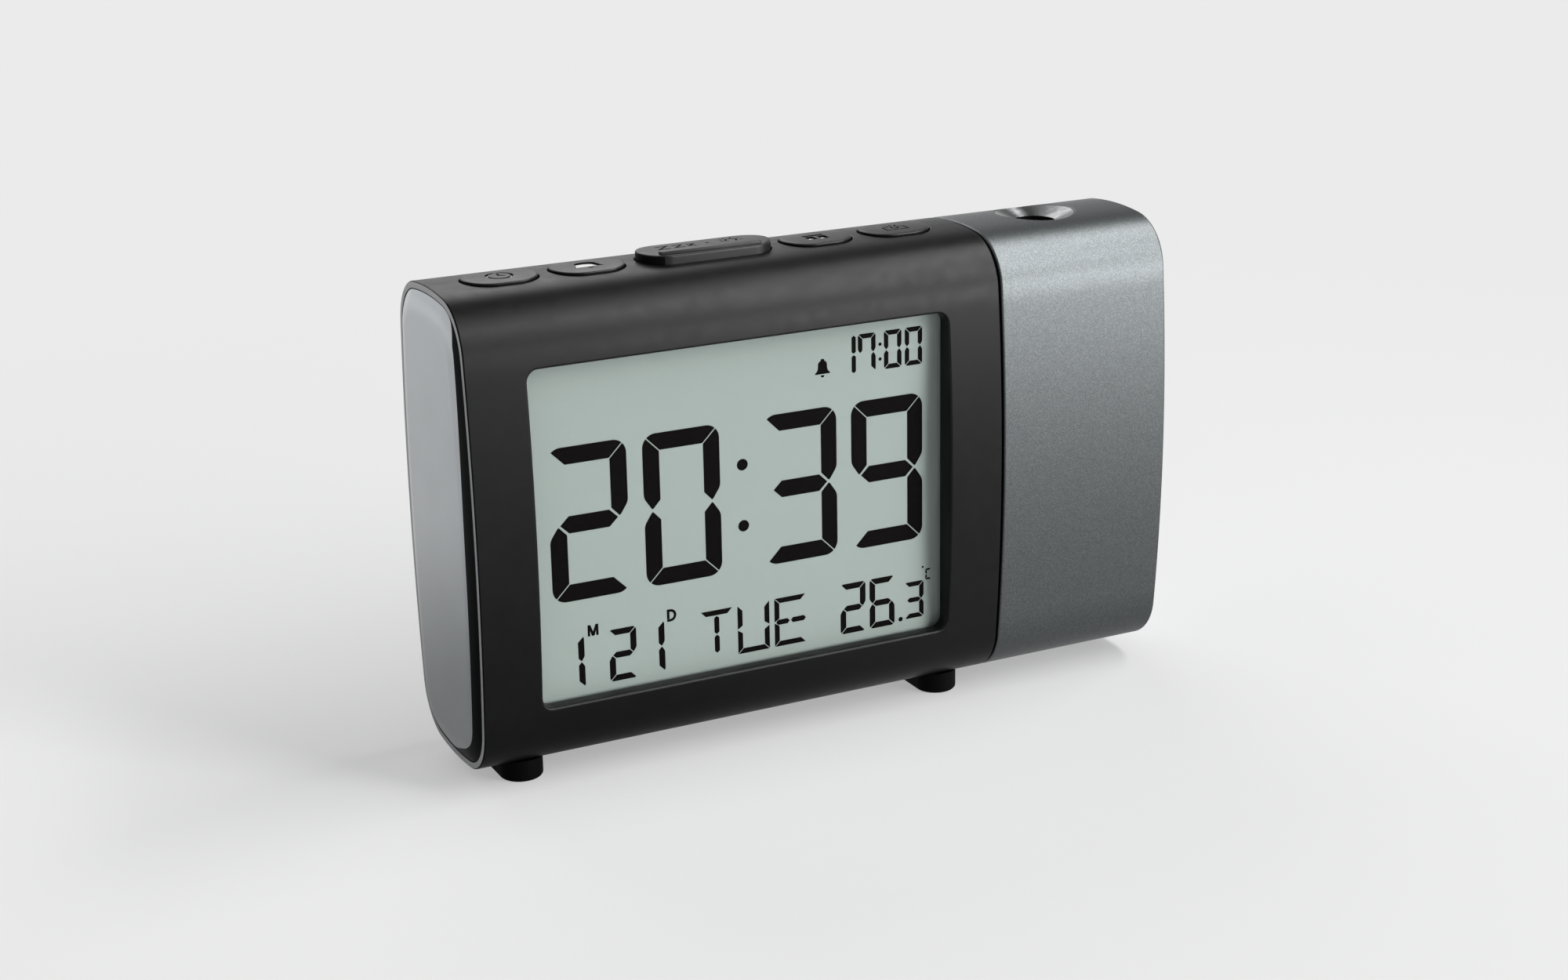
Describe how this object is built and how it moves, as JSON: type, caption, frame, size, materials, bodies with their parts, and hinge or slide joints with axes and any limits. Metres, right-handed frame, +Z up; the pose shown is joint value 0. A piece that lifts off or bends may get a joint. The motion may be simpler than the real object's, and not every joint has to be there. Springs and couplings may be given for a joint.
{
  "type": "projection alarm clock",
  "caption": "Pillow-shaped desk alarm clock with a large LCD window, rubber-footed case, press keys along the top and a projector head that swivels at one end.",
  "frame": {"origin": "middle of the bounding box, at the level that the feet stand on", "axes": "+X along the clock towards the projector head, +Y towards the back, +Z up; the display faces -Y"},
  "size_m": [0.1312, 0.0334, 0.0843],
  "materials": {
    "case_black": "fine matt moulding texture",
    "end_grey": "glossy grey",
    "clear_window": "clear and polished",
    "lcd_glass": "satin grey-green polariser",
    "guide_white": "frosted clear",
    "led_body": "white lamp body",
    "zebra_pink": "striped silicone",
    "moulding_black": "matt",
    "board_green": "solder mask over glass fibre",
    "epoxy_black": "semi-gloss",
    "tin_can": "satin",
    "sleeve_blue": "shrink sleeve",
    "sensor_blue": "dipped epoxy",
    "connector_cream": "satin",
    "wire_red": "insulated wire",
    "screw_steel": "zinc plated",
    "cell_wrap": "printed foil wrap, bare of names",
    "spring_steel": "nickel plated",
    "foot_rubber": "matt",
    "bush_white": "self-lubricating plastic",
    "key_black": "fine matt",
    "plunger_red": "satin",
    "head_slate": "metallic slate paint with a fine sparkle",
    "polished_ring": "bright silver, polished",
    "lens_glass": "clear moulded lens",
    "image_glass": "dark image display",
    "led_red": "tinted clear lamp"
  },
  "bodies": {
    "case": {"case_sleeve": "case_black", "end_panel": "end_grey", "window_lens": "clear_window", "lcd_panel": "lcd_glass", "light_guide": "guide_white", "backlight_leds": "led_body", "zebra_strip": "zebra_pink", "display_frame": "moulding_black", "main_board": "board_green", "controller_blob": "epoxy_black", "quartz_crystal": "tin_can", "capacitors": "sleeve_blue", "temperature_sensor": "sensor_blue", "lead_connector": "connector_cream", "projector_lead": "wire_red", "board_screws": "screw_steel", "key_board": "board_green", "key_switches": "epoxy_black", "battery_box": "moulding_black", "upper_cell": "cell_wrap", "lower_cell": "cell_wrap", "battery_springs": "spring_steel", "battery_contacts": "spring_steel", "buzzer": "epoxy_black", "dc_inlet": "epoxy_black", "left_foot": "foot_rubber", "right_foot": "foot_rubber", "bearing_plate": "moulding_black", "plate_screws": "screw_steel", "swivel_bush": "bush_white", "wave_washer": "spring_steel"},
    "battery_door": {"battery_door": "case_black"},
    "time_key": {"time_key": "key_black", "time_plunger": "plunger_red"},
    "alarm_key": {"alarm_key": "key_black", "alarm_plunger": "plunger_red"},
    "snooze_key": {"snooze_key": "key_black", "snooze_plunger": "plunger_red"},
    "calendar_key": {"calendar_key": "key_black", "calendar_plunger": "plunger_red"},
    "projector_key": {"projector_key": "key_black", "projector_plunger": "plunger_red"},
    "projector_head": {"head_shell": "head_slate", "head_end_panel": "end_grey", "head_bulkhead": "moulding_black", "retaining_clip": "spring_steel", "lens_ring": "polished_ring", "lens_barrel": "moulding_black", "front_lens": "lens_glass", "rear_lens": "lens_glass", "image_lcd": "image_glass", "condenser_lens": "lens_glass", "projector_led": "led_red", "led_board": "board_green", "lead_socket": "connector_cream", "optics_bracket": "moulding_black", "head_screws": "screw_steel"}
  },
  "joints": [
    {"name": "head_swivel", "type": "hinge", "parent": "case", "child": "projector_head", "pos_m": [0.0315, 0, 0.0426], "axis": [1, 0, 0], "range_deg": [-90, 90]},
    {"name": "time_key_press", "type": "slide", "parent": "case", "child": "time_key", "axis": [0, 0, -1], "range_m": [0, 0.0005], "stiffness_N_per_m": 3000, "springref_m": -0.0002},
    {"name": "alarm_key_press", "type": "slide", "parent": "case", "child": "alarm_key", "axis": [0, 0, -1], "range_m": [0, 0.0005], "stiffness_N_per_m": 3000, "springref_m": -0.0002},
    {"name": "snooze_key_press", "type": "slide", "parent": "case", "child": "snooze_key", "axis": [0, 0, -1], "range_m": [0, 0.0005], "stiffness_N_per_m": 3000, "springref_m": -0.0002},
    {"name": "calendar_key_press", "type": "slide", "parent": "case", "child": "calendar_key", "axis": [0, 0, -1], "range_m": [0, 0.0005], "stiffness_N_per_m": 3000, "springref_m": -0.0002},
    {"name": "projector_key_press", "type": "slide", "parent": "case", "child": "projector_key", "axis": [0, 0, -1], "range_m": [0, 0.0005], "stiffness_N_per_m": 3000, "springref_m": -0.0002},
    {"name": "battery_door_lift", "type": "slide", "parent": "case", "child": "battery_door", "axis": [0, 1, 0], "range_m": [0, 0.012]}
  ]
}
